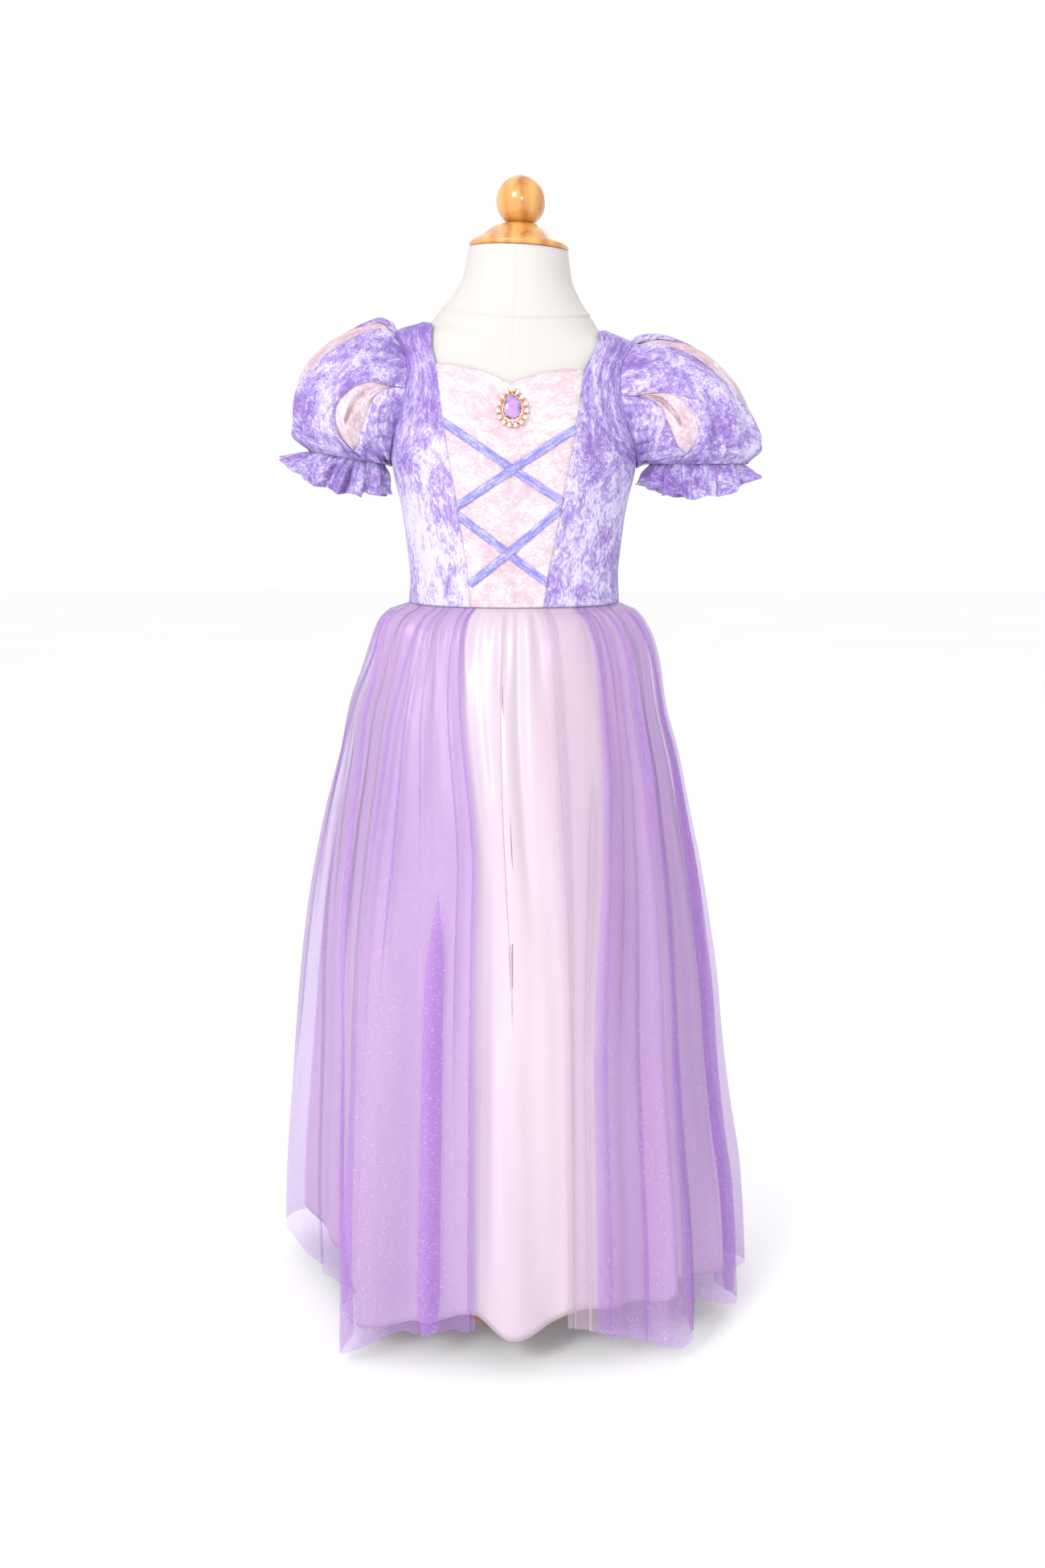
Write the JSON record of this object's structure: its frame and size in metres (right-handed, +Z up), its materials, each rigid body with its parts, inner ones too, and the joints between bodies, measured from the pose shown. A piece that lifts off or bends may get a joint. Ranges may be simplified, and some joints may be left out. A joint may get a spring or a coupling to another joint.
{
  "type": "princess costume dress on a dress form",
  "caption": "Child's costume dress with a laced velvet bodice, slashed puff sleeves and a gathered satin and tulle skirt, on a limbless dress form on a round stand.",
  "frame": {"origin": "centre of the stand's flat underside", "axes": "+Z up along the pole; the dress faces -Y; +X is to the right for somebody who faces its front"},
  "size_m": [0.4956, 0.401, 1.1078],
  "materials": {
    "lilac_velvet": "crushed velvet with a strong sheen",
    "pink_velvet": "crushed velvet with a strong sheen",
    "ribbon": "velvet ribbon",
    "satin": "satin",
    "lilac_tulle": "sheer tulle with fine glitter",
    "pale_tulle": "sheer tulle",
    "jersey": "smooth matt jersey",
    "wood": "clear gloss varnish",
    "steel": "satin",
    "gold": "rose-gold plating with small clear stones",
    "stone": "faceted acrylic"
  },
  "bodies": {
    "root": {"bodice_back_left": "lilac_velvet", "bodice_back_right": "lilac_velvet", "bodice_centre": "pink_velvet", "bodice_front_left": "lilac_velvet", "bodice_front_right": "lilac_velvet", "brooch_setting": "gold", "brooch_stone": "stone", "form_base": "wood", "form_body": "jersey", "form_cap": "wood", "form_finial": "wood", "form_pole": "steel", "lacing_lower_over": "ribbon", "lacing_lower_under": "ribbon", "lacing_upper_over": "ribbon", "lacing_upper_under": "ribbon", "skirt_pale_flap": "pale_tulle", "skirt_satin_back": "satin", "skirt_satin_front": "satin", "skirt_satin_left": "satin", "skirt_satin_right": "satin", "skirt_tulle_back_left": "lilac_tulle", "skirt_tulle_back_right": "lilac_tulle", "skirt_tulle_front_left": "lilac_tulle", "skirt_tulle_front_right": "lilac_tulle", "sleeve_left_frill": "lilac_velvet", "sleeve_left_insert_back": "pink_velvet", "sleeve_left_insert_front": "pink_velvet", "sleeve_left_insert_top": "pink_velvet", "sleeve_left_petal_back": "lilac_velvet", "sleeve_left_petal_front": "lilac_velvet", "sleeve_left_underarm": "lilac_velvet", "sleeve_right_frill": "lilac_velvet", "sleeve_right_insert_back": "pink_velvet", "sleeve_right_insert_front": "pink_velvet", "sleeve_right_insert_top": "pink_velvet", "sleeve_right_petal_back": "lilac_velvet", "sleeve_right_petal_front": "lilac_velvet", "sleeve_right_underarm": "lilac_velvet"}
  },
  "joints": []
}
